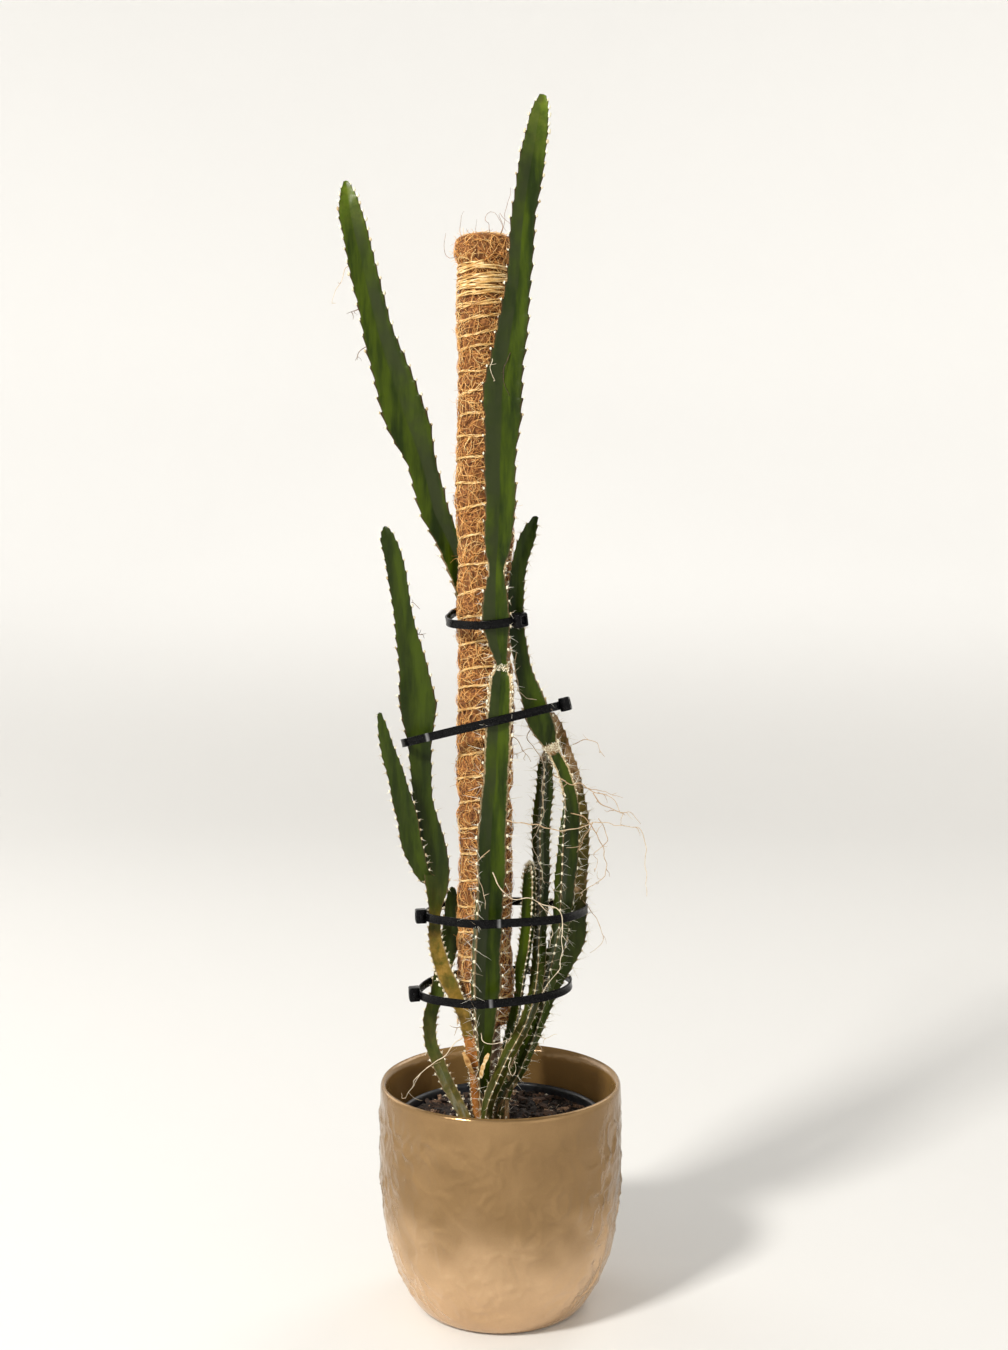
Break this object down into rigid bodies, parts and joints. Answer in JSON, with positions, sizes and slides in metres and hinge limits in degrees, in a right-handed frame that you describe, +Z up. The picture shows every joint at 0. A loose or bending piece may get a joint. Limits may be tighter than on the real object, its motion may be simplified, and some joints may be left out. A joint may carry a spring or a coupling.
{
  "type": "dragon fruit cactus in a pot",
  "caption": "Climbing dragon fruit cactus with three-ribbed stems tied to a coir pole, in a nursery pot inside a gold hammered cover pot.",
  "frame": {"origin": "the middle of the flat foot that the cover pot stands on", "axes": "+Z up along the climbing pole, -Y towards the side that faces the viewer, +X to that viewer's right"},
  "size_m": [0.1818, 0.1416, 0.6817],
  "materials": {
    "cover_pot": "satin gold bronze lustre, hammered outside",
    "nursery_pot": "thin black plastic",
    "soil": "dark potting soil with bark",
    "stake": "plain round wood, darkened by damp",
    "coir": "rough brown coconut fibre",
    "twine": "straw coloured twine",
    "stem_green": "deep green waxy skin with a brown horny edge",
    "stem_yellowing": "waxy skin, green above and yellow brown at the base",
    "stem_old": "dull green skin with corky brown patches",
    "cable_tie": "glossy black nylon"
  },
  "bodies": {
    "root": {"cover_pot": "cover_pot", "nursery_pot": "nursery_pot", "soil": "soil", "pole_stake": "stake", "coir_sleeve": "coir", "twine": "twine", "stem_front": "stem_green", "stem_back": "stem_green", "stem_bow": "stem_green", "stem_left": "stem_yellowing", "stem_right": "stem_old", "stem_right_inner": "stem_old", "stem_right_small": "stem_green", "tie_top": "cable_tie", "tie_upper": "cable_tie", "tie_middle": "cable_tie", "tie_lower": "cable_tie"}
  },
  "joints": []
}
